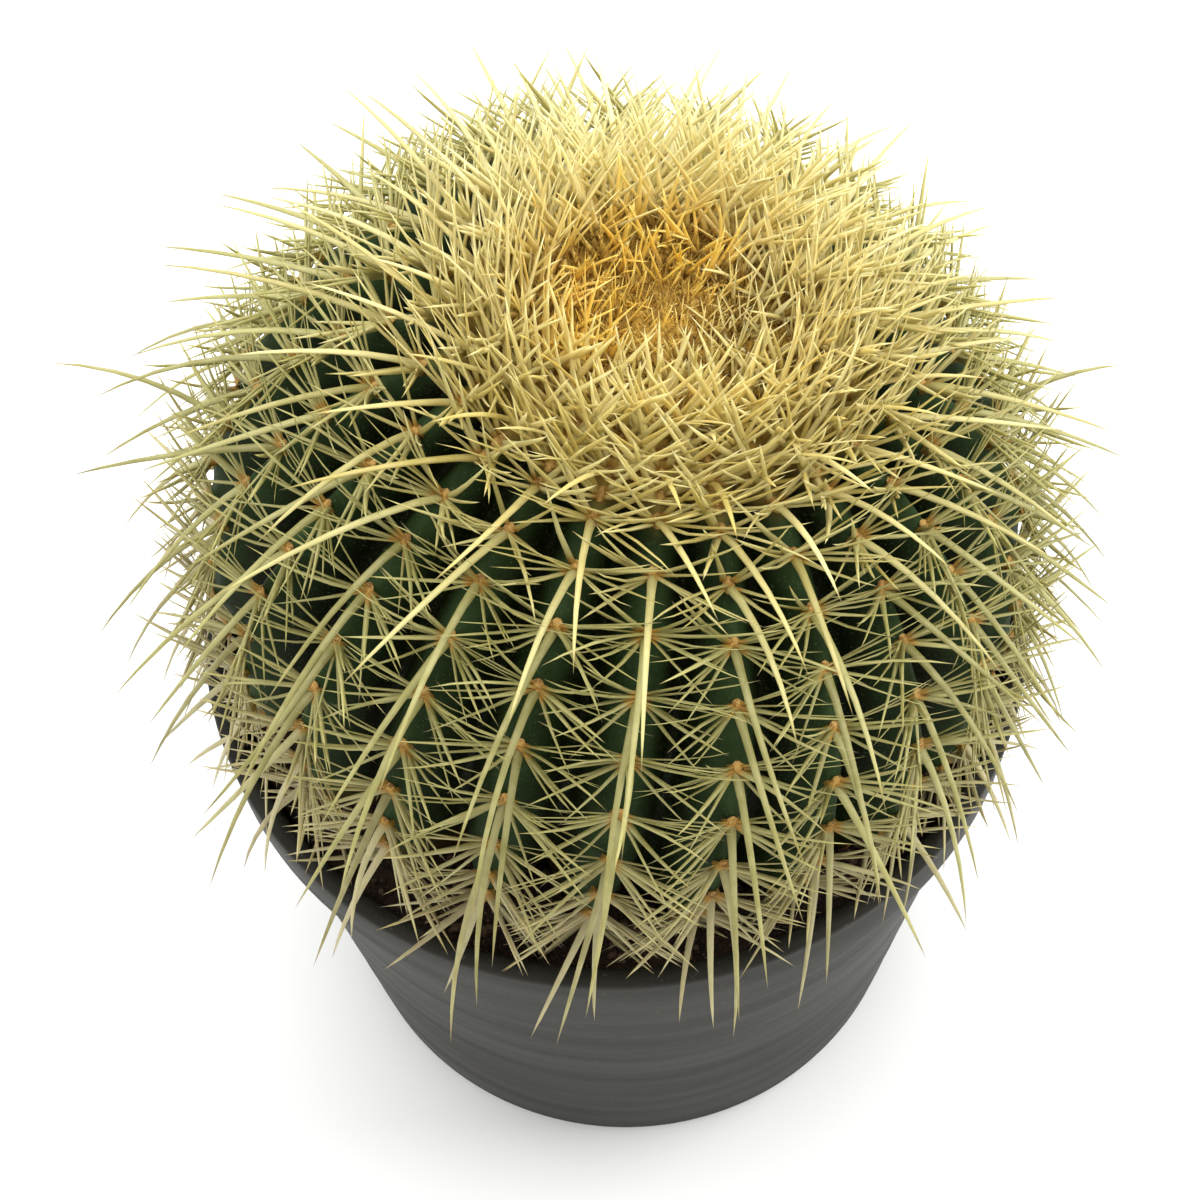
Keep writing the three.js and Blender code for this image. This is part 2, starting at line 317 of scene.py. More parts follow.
def feed(tree, source, socket):
    tree.links.new(source, tree.nodes["Principled BSDF"].inputs[socket])


# A material with the looks that all share. In a look, "surface" is set on the shader itself, "mottle" is
# the scale of the patches, the scale of the grain and the softness of the patches' edge, and "bump" is
# the grain's depth and strength. A layer is the range of its mask, with the strength at both ends where
# that isn't 0 and 1, and its colour.
def newFinish(name, look):
    material = bpy.data.materials.new(name)
    material.use_nodes = True
    tree = material.node_tree
    for socket, value in look["surface"].items():
        tree.nodes["Principled BSDF"].inputs[socket].default_value = value
    patchScale, grainScale, edge = look["mottle"]
    scales = {"Patch scale": patchScale, "Grain scale": grainScale, "Edge": edge}
    patches, grain = wire(tree, "ShaderNodeGroup", scales, node_tree=mottle).outputs
    depth, strength = look["bump"]
    bump = wire(tree, "ShaderNodeBump", {"Height": grain, "Distance": depth, "Strength": strength})
    feed(tree, bump.outputs["Normal"], "Normal")
    return material, tree, patches, grain


plasticLook = {
    "surface": {"Specular IOR Level": 0.12},
    "mottle": (26.0, 700.0, 0.16),
    "bump": (0.06 * mm, 0.5),
    "shades": (0x23221D, 0x282721),
    "streakScale": (9, 9, 110),  # long round the pot, short up it
    "streaks": ((0.35, 0.7, 0.0, 0.45), 0x2E2D27),
    "specks": ((0.62, 0.78), 0x3E3D33),
    "roughness": (0.3, 0.7, 0.46, 0.58),
}


def plasticFinish():
    material, tree, patches, grain = newFinish("darkPlastic", plasticLook)
    spot = wire(tree, "ShaderNodeTexCoord", {}).outputs["Object"]
    flat = wire(tree, "ShaderNodeMapping", {"Vector": spot, "Scale": plasticLook["streakScale"]})
    waves = {"Vector": flat.outputs["Vector"], "Scale": 1.0, "Detail": 3.0}
    streaks = wire(tree, "ShaderNodeTexNoise", waves).outputs["Fac"]
    dusty = blend(tree, patches, *plasticLook["shades"])
    dusty = layer(tree, dusty, streaks, *plasticLook["streaks"])
    feed(tree, layer(tree, dusty, grain, *plasticLook["specks"]), "Base Color")
    feed(tree, ranged(tree, streaks, *plasticLook["roughness"]), "Roughness")
    return material


soilLook = {
    "surface": {"Roughness": 0.95},
    "mottle": (160.0, 1400.0, 0.2),
    "bump": (0.8 * mm, 1.0),
    "shades": (0x1E140D, 0x3D2A1C),
    "crumbs": ((0.55, 0.75), 0x5A4432),
}


def soilFinish():
    material, tree, patches, grain = newFinish("pottingSoil", soilLook)
    dark = blend(tree, patches, *soilLook["shades"])
    feed(tree, layer(tree, dark, grain, *soilLook["crumbs"]), "Base Color")
    return material


gritLook = {
    "surface": {"Roughness": 0.85},
    "mottle": (90.0, 1600.0, 0.05),
    "bump": (0.3 * mm, 1.0),
    "shades": (0x33241A, 0x6B5540),
}


def gritFinish():
    material, tree, patches, _ = newFinish("grit", gritLook)
    feed(tree, blend(tree, patches, *gritLook["shades"]), "Base Color")
    return material


fleshLook = {
    "surface": {"Specular IOR Level": 0.06},
    "mottle": (55.0, 1500.0, 0.2),
    "bump": (0.12 * mm, 0.6),
    "ridge": (0x1E2B12, 0x35482A),
    # painted shade: the flesh darkens to near black towards the bottom of each furrow
    "furrow": ((0.0, 0.8), 0x0D1102),
    "crown": ((0.72, 0.84), 0xD0AC54),
    "cork": ((0.12, 0.0), 0x4A3A22),  # on the oldest skin, just over the soil
    "specks": ((0.58, 0.72, 0.0, 0.5), 0x465A34),
    "roughness": (0.0, 1.0, 0.5, 0.65),
}


def fleshFinish():
    material, tree, patches, grain = newFinish("fleshGreen", fleshLook)
    youth = attribute(tree, "youth")
    skin = blend(tree, patches, *fleshLook["ridge"])
    # Painted shade: near black down in the furrows.
    skin = layer(tree, skin, attribute(tree, "furrow"), *fleshLook["furrow"])
    skin = layer(tree, skin, youth, *fleshLook["crown"])
    skin = layer(tree, skin, youth, *fleshLook["cork"])
    feed(tree, layer(tree, skin, grain, *fleshLook["specks"]), "Base Color")
    feed(tree, ranged(tree, patches, *fleshLook["roughness"]), "Roughness")
    return material


feltLook = {
    "surface": {"Roughness": 0.95},
    "mottle": (420.0, 2600.0, 0.1),
    "bump": (0.5 * mm, 1.0),
    "old": (0x5A3612, 0xB48234),
    "fresh": (0xA0783A, 0xDCB468),
    "hairs": ((0.56, 0.7), 0xE6C67C),
}


def feltFinish():
    material, tree, patches, grain = newFinish("areoleFelt", feltLook)
    old = blend(tree, patches, *feltLook["old"])
    fresh = blend(tree, patches, *feltLook["fresh"])
    felt = blend(tree, attribute(tree, "youth"), old, fresh)
    feed(tree, layer(tree, felt, grain, *feltLook["hairs"]), "Base Color")
    return material


spineLook = {
    "surface": {
        "Roughness": 0.45,
        "Subsurface Weight": 0.3,
        "Subsurface Radius": (1.0, 0.8, 0.4),
        "Subsurface Scale": 1.2 * mm,
    },
    "mottle": (120.0, 1900.0, 0.25),
    "bump": (0.1 * mm, 0.5),
    "oldest": (0x8C8056, 0xD8CDA0),  # dark and pale tone
    "younger": [  # range of youth in which each comes in, dark and pale tone
        ((0.1, 0.42), 0x7C773A, 0xB9B470),
        ((0.6, 0.82), 0xC2AE5A, 0xF4EBB4),
        ((0.82, 0.95), 0xECB638, 0xFADA6A),
    ],
    "cream": ((0.0, 1.0, 0.0, 0.2), 0xE6E0A8),
    "root": ((5.4 * mm, 3.0 * mm), 0xB08A40),  # by the distance from the root
    "tip": ((0.86, 1.0, 0.0, 0.5), 0xA07C44),  # by the share of the spine's length
}


def spineFinish():
    material, tree, patches, _ = newFinish("spineHorn", spineLook)
    youth, along, base, tone = (attribute(tree, name) for name in ("youth", "along", "base", "tone"))
    # tone is each spine's random shade, moved towards pale on the back spines as painted light from
    # behind.
    horn = blend(tree, tone, *spineLook["oldest"])
    for youthRange, dark, pale in spineLook["younger"]:
        horn = layer(tree, horn, youth, youthRange, blend(tree, tone, dark, pale))
    horn = layer(tree, horn, patches, *spineLook["cream"])
    horn = layer(tree, horn, base, *spineLook["root"])
    feed(tree, layer(tree, horn, along, *spineLook["tip"]), "Base Color")
    return material


woolLook = {
    "surface": {"Roughness": 0.95, "Sheen Weight": 0.3, "Sheen Tint": tint(0xF4D27A)},
    "mottle": (220.0, 2400.0, 0.25),
    "bump": (0.8 * mm, 1.0),
    "shades": (0xA47E34, 0xDAB048),
}


def woolFinish():
    material, tree, patches, _ = newFinish("crownWool", woolLook)
    feed(tree, blend(tree, patches, *woolLook["shades"]), "Base Color")
    return material


# ---- pot

pot = {
    "rimRadius": 0.110,
    "height": 0.164,
    "baseRadius": 0.086,
    "wall": 0.0022,
    "lipWidth": 0.0054,
    "collarHeight": 0.019,
    "skirt": 0.0018,  # the collar's own thickness
    "skirtDraft": 0.0012,
    "lipRound": 0.0012,
    "edgeRound": 0.6 * mm,
    "rings": 7,  # shallow steps round the wall
    "ringStep": 0.0002,
    "ringCrest": 0.25,  # how far below its groove a ring is widest, in rings
    "crestRound": 2 * mm,
    "grooveRound": 1.2 * mm,
    "floor": 0.003,
    "insideRound": 2 * mm,
    "footWidth": 0.009,
    "bossRadius": 0.026,
    "channelRise": 0.004,
    "holes": 8,
    "holeRadius": 0.005,
    "holeSides": 28,
    "turnSteps": 160,
    "sharpFrom": 40,  # degrees between two faces
}
pot["innerRim"] = pot["rimRadius"] - pot["lipWidth"]
pot["innerBase"] = pot["baseRadius"] - pot["wall"] - pot["floor"]
pot["floorTop"] = pot["channelRise"] + pot["floor"]


def wallRadius(z):
    return lerp(pot["baseRadius"], pot["innerRim"] + pot["wall"], z / pot["height"])


# From the middle of the underside, up the outside, over the rim and down the inside.
def potOutline():
    top, rise, soft = pot["height"], pot["channelRise"], pot["edgeRound"]
    collarFoot = top - pot["collarHeight"]
    skirtFoot = pot["rimRadius"] - pot["skirtDraft"]
    channel = pot["baseRadius"] - pot["footWidth"]
    underLip = top - pot["lipRound"] - pot["skirt"]
    corners = [
        (0, 0, 0),
        (pot["bossRadius"], 0, soft),
        (pot["bossRadius"] + rise, rise, soft),
        (channel - rise, rise, soft),
        (channel, 0, soft),
        (pot["baseRadius"], 0, pot["lipRound"]),
    ]
    pitch = (collarFoot - pot["lipRound"]) / pot["rings"]
    for ring in range(1, pot["rings"] + 1):
        groove = pot["lipRound"] + ring * pitch
        crest = groove - pitch * pot["ringCrest"]
        corners.append((wallRadius(crest) + pot["ringStep"] / 2, crest, pot["crestRound"]))
        corners.append((wallRadius(groove) - pot["ringStep"] / 4, groove, pot["grooveRound"]))
    corners += [
        (wallRadius(underLip), underLip, soft),
        (pot["rimRadius"] - pot["skirt"], underLip, soft),
        (skirtFoot - pot["skirt"], collarFoot, soft / 2),
        (skirtFoot, collarFoot, soft),
        (pot["rimRadius"], top, 2 * pot["lipRound"]),
        (pot["innerRim"], top, 2 * pot["lipRound"]),
        (pot["innerBase"], pot["floorTop"], pot["insideRound"]),
        (0, pot["floorTop"], 0),
    ]
    return rounded(corners)


def makePot():
    piece = meshObject("pot_shell", turned(potOutline(), pot["turnSteps"]))
    middle = (pot["bossRadius"] + pot["baseRadius"] - pot["footWidth"]) / 2
    holes = bmesh.new()
    for number in range(pot["holes"]):
        angle = (number + 0.5) / pot["holes"] * fullTurn
        seat = Matrix.Translation((middle * math.cos(angle), middle * math.sin(angle), 0))
        bmesh.ops.create_cone(holes, cap_ends=True, segments=pot["holeSides"], radius1=pot["holeRadius"],
                              radius2=pot["holeRadius"], depth=8 * pot["channelRise"], matrix=seat)
    cutAway(piece, meshObject("holes", holes))
    smoothByAngle(piece, pot["sharpFrom"])
    finishPiece(piece, plasticFinish(), "pot_plastic", "pot")


# ---- flesh

flesh = {
    "radius": 0.104,
    "halfHeight": 0.085,
    "centre": (0.0015, 0.004, 0.196),
    "leanDegrees": 10,
    "leanHeading": 14,  # degrees from +X towards +Y
    "fullness": 0.94,  # power of the cosine in the outline, below 1 for more than a sphere's width
    "youthSpan": (-30, 90),  # degrees of latitude from the oldest flesh to the youngest
    "crownDip": 0.010,
    "crownDipRadius": 0.030,
    "ribs": 24,
    "firstRibTurn": 0.18,
    "ribDepth": 0.017,
    "ribDepthMost": 0.3,  # of the crest's radius
    "deepenFrom": -66,  # degrees of latitude between which the furrows deepen
    "deepenTo": -24,
    "fadeFrom": 38,  # and between which they fade again
    "fadeTo": 84,
    "fade": 0.93,
    "crestRound": 0.10,
    "furrowPower": 1.08,
    "swell": 0.0011,  # how far the crest stands out under an areole
    "notch": 0.0009,  # and how far it sinks between two
    "swellWidth": 0.0042,
    "swellFrom": -40,  # degrees of latitude between which the swellings grow
    "swellTo": -30,
    "swellTop": 5 * mm,  # crest radius within which there are none
    "arc": 1.15,  # length of a radian along the crest, for the half height
    "stepsPerRib": 12,
    "rows": 112,
}
heading = math.radians(flesh["leanHeading"])
lean = Quaternion((-math.sin(heading), math.cos(heading), 0), math.radians(flesh["leanDegrees"]))
fleshCentre = Vector(flesh["centre"])
ribTurn = fullTurn / flesh["ribs"]


# From the plant's own upright frame to its leaning place in the pot.
def place(local):
    return lean @ local + fleshCentre


# Crest radius and height of the body at a latitude, in the plant's own frame.
def crestAt(latitude, grow=0.0):
    r = (flesh["radius"] + grow) * max(math.cos(latitude), 0) ** flesh["fullness"]
    dip = flesh["crownDip"] * bell(r, flesh["crownDipRadius"]) if latitude > 0 else 0
    return r, (flesh["halfHeight"] + grow) * math.sin(latitude) - dip


# The upper latitude at which the crest has a radius.
def latitudeAt(r):
    return math.acos(min(1, (r / flesh["radius"]) ** (1 / flesh["fullness"])))


def youthAt(latitude):
    oldest, youngest = flesh["youthSpan"]
    return (math.degrees(latitude) - oldest) / (youngest - oldest)


def furrowAt(latitude):
    degrees = math.degrees(latitude)
    left = 1 - smoothstep(degrees, flesh["fadeFrom"], flesh["fadeTo"]) * flesh["fade"]
    return flesh["ribDepth"] * smoothstep(degrees, flesh["deepenFrom"], flesh["deepenTo"]) * left


# 0 on a rib's crest, 1 in the furrow, with a narrow round at the crest.
def ribShape(azimuth):
    phase = (azimuth - flesh["firstRibTurn"]) / ribTurn
    across = 2 * abs(phase - round(phase))
    edge = flesh["crestRound"]
    return ((math.hypot(across, edge) - edge) / (math.hypot(1, edge) - edge)) ** flesh["furrowPower"]


# How far the flesh stands out at a spot, for the latitudes of the areoles on each rib.
def swellAt(latitude, azimuth, rows):
    rib = round((azimuth - flesh["firstRibTurn"]) / ribTurn) % flesh["ribs"]
    nearest = min(abs(latitude - row) for row in rows[rib]) * flesh["halfHeight"] * flesh["arc"]
    wave = flesh["swell"] * bell(nearest, flesh["swellWidth"]) - flesh["notch"]
    grown = smoothstep(math.degrees(latitude), flesh["swellFrom"], flesh["swellTo"])
    return wave * grown * (1 - ribShape(azimuth)) ** 2


# The ribbed body from a sphere whose meridians run along the crests.
def fleshMesh(rows, grow=0.0, stepsPerRib=flesh["stepsPerRib"], rings=flesh["rows"]):
    bm = bmesh.new()
    bmesh.ops.create_uvsphere(bm, u_segments=flesh["ribs"] * stepsPerRib, v_segments=rings, radius=1)
    bmesh.ops.rotate(bm, verts=bm.verts, matrix=Matrix.Rotation(flesh["firstRibTurn"], 3, "Z"))
    # furrow is 0 on a crest and 1 down in a furrow, the mask of the flesh's painted furrow shade
    furrowShadeMark = bm.verts.layers.float.new("furrow")
    youthMark = bm.verts.layers.float.new("youth")
    for vert in bm.verts:
        latitude = math.asin(min(max(vert.co.z, -1), 1))
        azimuth = math.atan2(vert.co.x, -vert.co.y)
        crest, z = crestAt(latitude, grow)
        dent = ribShape(azimuth)
        r = crest - min(furrowAt(latitude), crest * flesh["ribDepthMost"]) * dent
        if rows and crest > flesh["swellTop"]:
            r += swellAt(latitude, azimuth, rows)
        vert[furrowShadeMark] = dent
        vert[youthMark] = youthAt(latitude)
        vert.co = place(Vector((r * math.sin(azimuth), -r * math.cos(azimuth), z)))
    return bm


def insideFlesh(point, margin):
    local = lean.inverted() @ (point - fleshCentre)
    latitude = math.asin(min(max(local.z / flesh["halfHeight"], -1), 1))
    crest, _ = crestAt(latitude)
    azimuth = math.atan2(local.x, -local.y)
    return math.hypot(local.x, local.y) < crest - furrowAt(latitude) * ribShape(azimuth) + margin


# ---- areoles

areoles = {
    "lowest": -27,  # degrees of latitude, as all the next ones
    "highest": 76,
    "stagger": 3,  # every second rib starts this much higher
    "scatter": 2,
    "closerFrom": 30,  # from here up they draw closer together
    "highFrom": 35,  # from here up their spines stand up more
    "oldTo": 12,  # from here down their spines are shorter
    "crowdedFrom": 58,  # from here up there is one more between each two
    "spacing": 0.0152,
    "crownSpacing": 0.0105,
    "walk": 0.25,  # degrees at a time when their places are found
    "padLength": 0.0052,
    "padWidth": 0.0036,
    "padHeight": 0.0007,
    "padShrink": 0.25,  # the youngest are this much smaller
    "padRough": 0.16,
    "padLumps": 3,
    "padSides": (10, 6),
}


# Rises from 0 to 1 between two latitudes that are given in degrees.
def climb(latitude, low, high):
    return smoothstep(latitude, math.radians(low), math.radians(high))


# Latitudes of the areoles up one rib.
def areoleLatitudes(start):
    found = [start]
    step = math.radians(areoles["walk"])
    r, z = crestAt(start)
    walked, latitude = 0, start
    while latitude < math.radians(areoles["highest"]):
        nextR, nextZ = crestAt(latitude + step)
        walked += math.hypot(nextR - r, nextZ - z)
        r, z = nextR, nextZ
        close = climb(latitude, areoles["closerFrom"], areoles["highest"])
        if walked >= lerp(areoles["spacing"], areoles["crownSpacing"], close):
            found.append(latitude)
            walked = 0
        latitude += step
    return found


# A seat for an areole: its place, the outward normal, the ways down and across the rib, and its age.
def areoleSeat(latitude, azimuth):
    nudge = math.radians(0.5)

    def at(angle):
        r, z = crestAt(angle)
        return Vector((r * math.sin(azimuth), -r * math.cos(azimuth), z))

    down = (at(latitude - nudge) - at(latitude + nudge)).normalized()
    side = Vector((math.cos(azimuth), math.sin(azimuth), 0))
    normal = down.cross(side).normalized()
    return {"point": place(at(latitude)), "latitude": latitude, "azimuth": azimuth,
            "normal": lean @ normal, "down": lean @ down, "side": lean @ side,
            "youth": youthAt(latitude),
            "high": climb(latitude, areoles["highFrom"], areoles["highest"]),
            "old": 1 - climb(latitude, areoles["lowest"], areoles["oldTo"])}


def makePads(seats):
    bm = bmesh.new()
    sides, levels = areoles["padSides"]
    bmesh.ops.create_uvsphere(bm, u_segments=sides, v_segments=levels, radius=1)
    bm, pads, (youthMark,) = repeated(makeTemplate(bm), len(seats), "youth")
    for number, (pad, seat) in enumerate(zip(pads, seats)):
        size = 1 - areoles["padShrink"] * seat["youth"]
        for vert in pad:
            lumps = noise.noise(vert.co * areoles["padLumps"] + Vector((number, 0, 0)))
            local = vert.co * (1 + areoles["padRough"] * lumps) * size
            vert.co = (seat["point"] + seat["down"] * (local.x * areoles["padLength"] / 2)
                       + seat["side"] * (local.y * areoles["padWidth"] / 2)
                       + seat["normal"] * (local.z * areoles["padHeight"]))
            vert[youthMark] = seat["youth"]
    bmesh.ops.recalc_face_normals(bm, faces=bm.faces)
    finishPiece(meshObject("areole_pads", bm), feltFinish(), "cactus")


# ---- soil

soil = {
    "belowRim": 0.015,
    "gap": 0.0004,  # to the pot
    "socketGap": 0.55 * mm,  # to the flesh
    "bevel": 2 * mm,
    "edge": 1.6 * mm,  # the lumpy top ends this far from the wall
    "bump": 0.0012,
    "lumpScale": 120,
    "crumbScale": 420,
    "crumbs": 0.6,  # for the lumps
    "turnSteps": 144,
    "rings": 44,
    "socketSteps": (6, 48),
}
soilTop = pot["height"] - soil["belowRim"]


def soilRadius(z):
    share = (z - pot["floorTop"]) / (pot["height"] - pot["floorTop"])
    return lerp(pot["innerBase"], pot["innerRim"], share) - soil["gap"]


def makeSoil():
    bevel, edge, rings = soil["bevel"], soil["edge"], soil["rings"]
    floor = pot["floorTop"] + soil["gap"]
    outer = soilRadius(soilTop)
    profile = [(0, floor), (soilRadius(floor) - bevel, floor), (soilRadius(floor), floor + bevel)]
    profile.append((outer - edge / 2, soilTop - bevel))
    profile += [((outer - edge) * (rings - ring) / rings, soilTop) for ring in range(rings + 1)]
    bm = turned(profile, soil["turnSteps"])
    for vert in bm.verts:
        if vert.co.z > soilTop - bevel / 2:
            lumps = noise.noise(vert.co * soil["lumpScale"])
            lumps += soil["crumbs"] * noise.noise(vert.co * soil["crumbScale"])
            vert.co.z += soil["bump"] * lumps
    piece = meshObject("soil_fill", bm)
    cutAway(piece, meshObject("socket", fleshMesh(None, soil["socketGap"], *soil["socketSteps"])))
    finishPiece(piece, soilFinish(), "soil", "soil")


grit = {
    "grains": 1500,
    "size": 0.5 * mm,
    "sizeSpread": 1.4 * mm,
    "sizePower": 3,  # the higher, the fewer large ones
    "innerRadius": 0.07,  # no grains under the plant
    "wallGap": 0.8 * mm,
    "wallRoom": 1.5,  # in sizes of the grain, as the next two
    "fleshRoom": 1.3,
    "overSoil": 0.3,
    "shape": (0.6, 1.2),
}


def makeGrit():
    dice = random.Random(31)
    seats = []
    while len(seats) < grit["grains"]:
        angle = dice.uniform(0, fullTurn)
        size = grit["size"] + grit["sizeSpread"] * dice.random() ** grit["sizePower"]
        outer = soilRadius(soilTop) - grit["wallRoom"] * size - grit["wallGap"]
        r = dice.uniform(grit["innerRadius"], outer)
        spot = Vector((r * math.cos(angle), r * math.sin(angle), soilTop + grit["overSoil"] * size))
        if insideFlesh(spot, grit["fleshRoom"] * size):
            continue
        turn = Euler([dice.uniform(0, fullTurn) for _ in range(3)]).to_matrix().to_4x4()
        stretch = Matrix.Diagonal([size * dice.uniform(*grit["shape"]) for _ in range(3)] + [1])
        seats.append(Matrix.Translation(spot) @ turn @ stretch)
    bm = bmesh.new()
    bmesh.ops.create_icosphere(bm, subdivisions=1, radius=1)
    bm, grains, _ = repeated(makeTemplate(bm), len(seats))
    for grain, seat in zip(grains, seats):
        for vert in grain:
            vert.co = seat @ vert.co
    finishPiece(meshObject("soil_grit", bm, smooth=False), gritFinish(), "soil")


# ---- spines

# What all the spines share.
spines = {
    "rootDepth": 0.0026,
    "rootSpread": 0.0014,  # the further ones stand this far from the middle of the areole
    "rimClearance": 0.0022,
    "soilClearance": 0.0035,
    "boxMargin": 0.0002,
    "bendSteps": 12,
    "hang": 0.4,  # they bend to a way between down the rib, 0, and straight down, 1
    "tries": 14,  # at a way that is clear of pot and soil
    "raise": 0.22,  # turned up by this at each try
    "fullTries": 5,  # and after these shortened too
    "shorten": 0.86,
    "flatness": 0.48,  # thickness of a spine for its width
    "taper": 0.6,
    "bulb": 0.22,  # how much wider it is just above the root
    "bulbAt": 0.06,  # share of the length
    "bulbWidth": 0.05,
    "paintedBackLightFrom": -0.03,  # front and back between which their tone is moved towards pale, as painted light from behind
    "paintedBackLightTo": 0.06,
    "paintedBackLight": 0.45,
}

# Where two values stand together here, they are for the lowest and for the highest areoles.
central = {
    "length": 0.053,
    "root": 0.0012,
    "droop": (1.6, 0.35),
    "droopSpread": 0.6,
    "swing": 0.8,
    "oldLength": 0.66,
    "youngLength": 0.55,
    "youngFrom": 52,  # degrees of latitude
    "lengthSpread": 0.25,
    "uneven": 0.11,  # half the share by which they are shorter across from the long side
    "longSide": -50,  # degrees from the front towards +X
    "curl": 0.45,
    "bend": (0.85, 0.6),
    "sides": 6,
    "rings": (0.06, 0.2, 0.36, 0.52, 0.68, 0.84),  # shares of the length
}
lateral = {
    "length": 0.028,
    "root": 0.0008,
    "tilt": (0.75, 1.2),
    "tiltSpread": 0.5,
    "turn": (30, -20),  # degrees below straight across the rib, from and to
    "lengthSpread": 0.3,
    "bend": 0.5,
    "sides": 6,
    "rings": (0.08, 0.3, 0.55, 0.8),
}

# From here on, two values together are the lowest and the highest that chance gives.
sturdy = {
    # degrees to each hand from straight down the rib, outward lift, share of a lateral's length and root
    "low": (64, 0.6, 0.9, 0.95),
    "middle": (88, 0.7, 1.1, 1.25),
    "high": (116, 0.9, 0.9, 1.0),
    "missing": 0.6,  # share of the low ones that the oldest areoles have lost
    "length": (0.75, 1.15),
    "root": (0.85, 1.15),
    "crownRoot": 1.5,  # times as wide near the crown
    "lift": (0.7, 1.4),
    "crownLift": 1.8,
    "bend": (-0.6, 0.1),
}
radial = {
    "length": 0.025,
    "root": 0.0005,
    "degrees": (44, 70, 83, 96, 110),
    "missing": 0.35,  # share that the oldest areoles have lost
    "lift": (0.2, 0.6),
    "crownLift": (1.0, 2.8),
    "downLength": 0.7,  # share of the length for one straight down the rib
    "crownLength": 1.2,
    "lengths": (0.75, 1.15),
    "roots": (0.75, 1.2),
    "lowRoot": 1.1,
    "crownRoot": 2.25,
    "bend": (-0.55, 0.0),
    "sides": 5,
    "rings": (0.1, 0.45, 0.8),
}
further = {
    "aim": 8,  # degrees that the further spines stray to each side
    "oldLength": 0.8,
    "crowdedYouth": 0.68,  # from this youth up they crowd and cross
    "crowdedAim": 26,
    "crowdedMissing": 0.55,  # share of the radials
}


def isClear(path):
    low, high = cadBox
    margin = spines["boxMargin"]
    for point in path:
        r = math.hypot(point.x, point.y)
        if not all(low[axis] + margin <= point[axis] <= high[axis] - margin for axis in range(3)):
            return False
        if pot["innerRim"] - spines["rimClearance"] < r < pot["rimRadius"] + spines["rimClearance"]:
            if point.z <= pot["height"] + spines["rimClearance"]:
                return False
        elif r <= pot["rimRadius"] and point.z <= soilTop + spines["soilClearance"]:
            return False
    return True


# Points of a spine that sets out in one direction and bends steadily towards another.
def spinePath(start, direction, length, bendTo, bend):
    steps = spines["bendSteps"]
    path = [start.copy()]
    going = direction.normalized()
    for _ in range(steps):
        path.append(path[-1] + going * (length / steps))
        going = (going + bendTo * (bend / steps)).normalized()
    return path


# Raises a spine that would touch the pot or the soil, then shortens it.
def clearPath(seat, direction, length, bendTo, bend):
    going = direction.copy()
    for tries in range(spines["tries"]):
        path = spinePath(seat["point"], going, length, bendTo, bend)
        if isClear(path):
            return path
        going = (going + skyward * spines["raise"]).normalized()
        if tries >= spines["fullTries"]:
            length *= spines["shorten"]
    return None


def addSpine(group, seat, path, root, dice):
    if path:
        rooted = [seat["point"] - seat["normal"] * spines["rootDepth"]] + path
        length = sum((end - start).length for start, end in zip(rooted, rooted[1:]))
        # Spines towards the back get a paler tone: painted light from behind.
        paintedBackLit = smoothstep(seat["point"].y, spines["paintedBackLightFrom"], spines["paintedBackLightTo"])
        group.append({"path": rooted, "root": root, "side": seat["side"], "youth": seat["youth"],
                      "length": length, "tone": lerp(dice.random(), paintedBackLit, spines["paintedBackLight"])})


def hangOf(seat):
    return seat["down"].lerp(-skyward, spines["hang"])


# The long drooping central and the one lateral that the frame has too, from the same draws.
def mainSpines(seat, hand, draw, dice, groups):
    high, hang = seat["high"], hangOf(seat)
    normal, down, side = seat["normal"], seat["down"], seat["side"]
    shortened = climb(seat["latitude"], central["youngFrom"], areoles["highest"])

    def vary(spread):
        return 1 + spread * (draw() - 0.5)

    droop = lerp(*central["droop"], high) * vary(central["droopSpread"])
    outward = normal + down * droop
    outward += side * (central["swing"] * (draw() - 0.5))
    length = central["length"] * lerp(1, central["youngLength"], shortened)
    length *= lerp(1, central["oldLength"], seat["old"])
    length *= vary(central["lengthSpread"])
    around = seat["azimuth"] - math.radians(central["longSide"])
    length *= 1 - central["uneven"] * (1 - math.cos(around))
    curl = side * dice.uniform(-central["curl"], central["curl"])
    path = clearPath(seat, outward, length, hang + curl, lerp(*central["bend"], high))
    addSpine(groups["central"], seat, path, central["root"], dice)

    tilt = lerp(*lateral["tilt"], high) * vary(lateral["tiltSpread"])
    turn = math.radians(lerp(*lateral["turn"], draw()))
    sideways = side * (hand * math.cos(turn)) + down * math.sin(turn) + normal * tilt
    length = lateral["length"] * vary(lateral["lengthSpread"])
    path = clearPath(seat, sideways, length, hang, lateral["bend"])
    addSpine(groups["lateral"], seat, path, lateral["root"], dice)


